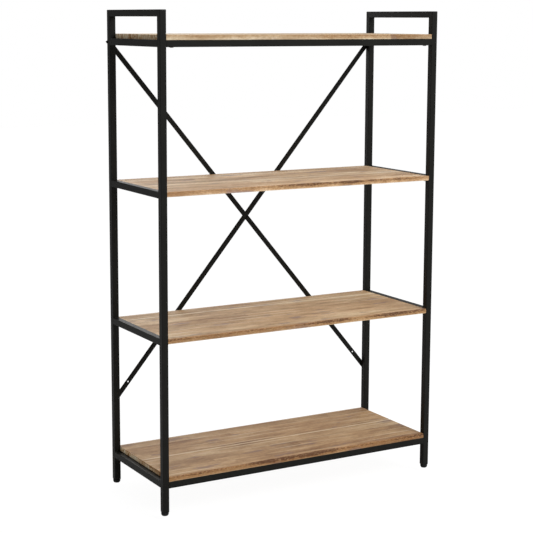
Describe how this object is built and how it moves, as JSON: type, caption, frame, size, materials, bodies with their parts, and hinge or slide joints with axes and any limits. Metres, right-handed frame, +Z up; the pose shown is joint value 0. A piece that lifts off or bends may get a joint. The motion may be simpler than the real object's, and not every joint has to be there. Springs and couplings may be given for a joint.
{
  "type": "open bookcase",
  "caption": "Open bookcase with a black square-tube frame, wooden boards, X cross braces on the back, raised end rails and screw-in levelling feet.",
  "frame": {"origin": "on the floor, under the middle of the bounding box", "axes": "+X to the right of someone facing the front, +Y from the front to the braced back, +Z up"},
  "size_m": [1.0082, 0.3928, 1.54],
  "materials": {
    "powder_coat": "fine-textured satin black powder coat",
    "wood": "edge-glued staves, matt lacquer, rough worn front edge",
    "black_screw": "black oxide button-head screws",
    "zinc": "bright zinc-plated thread",
    "black_plastic": "moulded matt plastic"
  },
  "bodies": {
    "root": {"post_front_left": "powder_coat", "post_back_left": "powder_coat", "post_front_right": "powder_coat", "post_back_right": "powder_coat", "end_top_rail_left": "powder_coat", "end_top_rail_right": "powder_coat", "side_rail_left_bottom": "powder_coat", "side_rail_left_lower": "powder_coat", "side_rail_left_upper": "powder_coat", "side_rail_left_top": "powder_coat", "side_rail_right_bottom": "powder_coat", "side_rail_right_lower": "powder_coat", "side_rail_right_upper": "powder_coat", "side_rail_right_top": "powder_coat", "front_rail_bottom": "powder_coat", "back_rail_bottom": "powder_coat", "front_rail_top": "powder_coat", "back_rail_top": "powder_coat", "rail_spigot_bottom_front_left": "powder_coat", "rail_spigot_bottom_front_right": "powder_coat", "rail_spigot_bottom_back_left": "powder_coat", "rail_spigot_bottom_back_right": "powder_coat", "rail_spigot_top_front_left": "powder_coat", "rail_spigot_top_front_right": "powder_coat", "rail_spigot_top_back_left": "powder_coat", "rail_spigot_top_back_right": "powder_coat", "shelf_ledge_lower_left": "powder_coat", "shelf_ledge_lower_right": "powder_coat", "shelf_ledge_upper_left": "powder_coat", "shelf_ledge_upper_right": "powder_coat", "brace_rising_left": "powder_coat", "brace_rising_right": "powder_coat", "rail_bolt_bottom_front_left": "black_screw", "rail_bolt_bottom_front_right": "black_screw", "rail_bolt_bottom_back_left": "black_screw", "rail_bolt_bottom_back_right": "black_screw", "rail_bolt_top_front_left": "black_screw", "rail_bolt_top_front_right": "black_screw", "rail_bolt_top_back_left": "black_screw", "rail_bolt_top_back_right": "black_screw", "brace_screw_top_left": "black_screw", "brace_screw_top_right": "black_screw", "brace_screw_low_left": "black_screw", "brace_screw_low_right": "black_screw", "bottom_board": "wood", "lower_board": "wood", "upper_board": "wood", "top_board": "wood", "foot_plug_front_left": "black_plastic", "foot_plug_back_left": "black_plastic", "foot_plug_front_right": "black_plastic", "foot_plug_back_right": "black_plastic"},
    "stud_front_left": {"foot_stud_front_left": "zinc"},
    "pad_front_left": {"foot_pad_front_left": "black_plastic"},
    "stud_back_left": {"foot_stud_back_left": "zinc"},
    "pad_back_left": {"foot_pad_back_left": "black_plastic"},
    "stud_front_right": {"foot_stud_front_right": "zinc"},
    "pad_front_right": {"foot_pad_front_right": "black_plastic"},
    "stud_back_right": {"foot_stud_back_right": "zinc"},
    "pad_back_right": {"foot_pad_back_right": "black_plastic"}
  },
  "joints": [
    {"name": "foot_front_left_slide", "type": "slide", "parent": "root", "child": "stud_front_left", "axis": [0, 0, -1], "range_m": [0, 0.012]},
    {"name": "foot_front_left_turn", "type": "hinge", "parent": "stud_front_left", "child": "pad_front_left", "pos_m": [-0.49, -0.18443, 0], "axis": [0, 0, -1], "range_deg": [0, 3456]},
    {"name": "foot_back_left_slide", "type": "slide", "parent": "root", "child": "stud_back_left", "axis": [0, 0, -1], "range_m": [0, 0.012]},
    {"name": "foot_back_left_turn", "type": "hinge", "parent": "stud_back_left", "child": "pad_back_left", "pos_m": [-0.49, 0.18058, 0], "axis": [0, 0, -1], "range_deg": [0, 3456]},
    {"name": "foot_front_right_slide", "type": "slide", "parent": "root", "child": "stud_front_right", "axis": [0, 0, -1], "range_m": [0, 0.012]},
    {"name": "foot_front_right_turn", "type": "hinge", "parent": "stud_front_right", "child": "pad_front_right", "pos_m": [0.49, -0.18443, 0], "axis": [0, 0, -1], "range_deg": [0, 3456]},
    {"name": "foot_back_right_slide", "type": "slide", "parent": "root", "child": "stud_back_right", "axis": [0, 0, -1], "range_m": [0, 0.012]},
    {"name": "foot_back_right_turn", "type": "hinge", "parent": "stud_back_right", "child": "pad_back_right", "pos_m": [0.49, 0.18058, 0], "axis": [0, 0, -1], "range_deg": [0, 3456]}
  ],
  "couplings": [
    {"joint": "foot_front_left_slide", "follows": "foot_front_left_turn", "m_per_rad": 0.00019894},
    {"joint": "foot_back_left_slide", "follows": "foot_back_left_turn", "m_per_rad": 0.00019894},
    {"joint": "foot_front_right_slide", "follows": "foot_front_right_turn", "m_per_rad": 0.00019894},
    {"joint": "foot_back_right_slide", "follows": "foot_back_right_turn", "m_per_rad": 0.00019894}
  ]
}
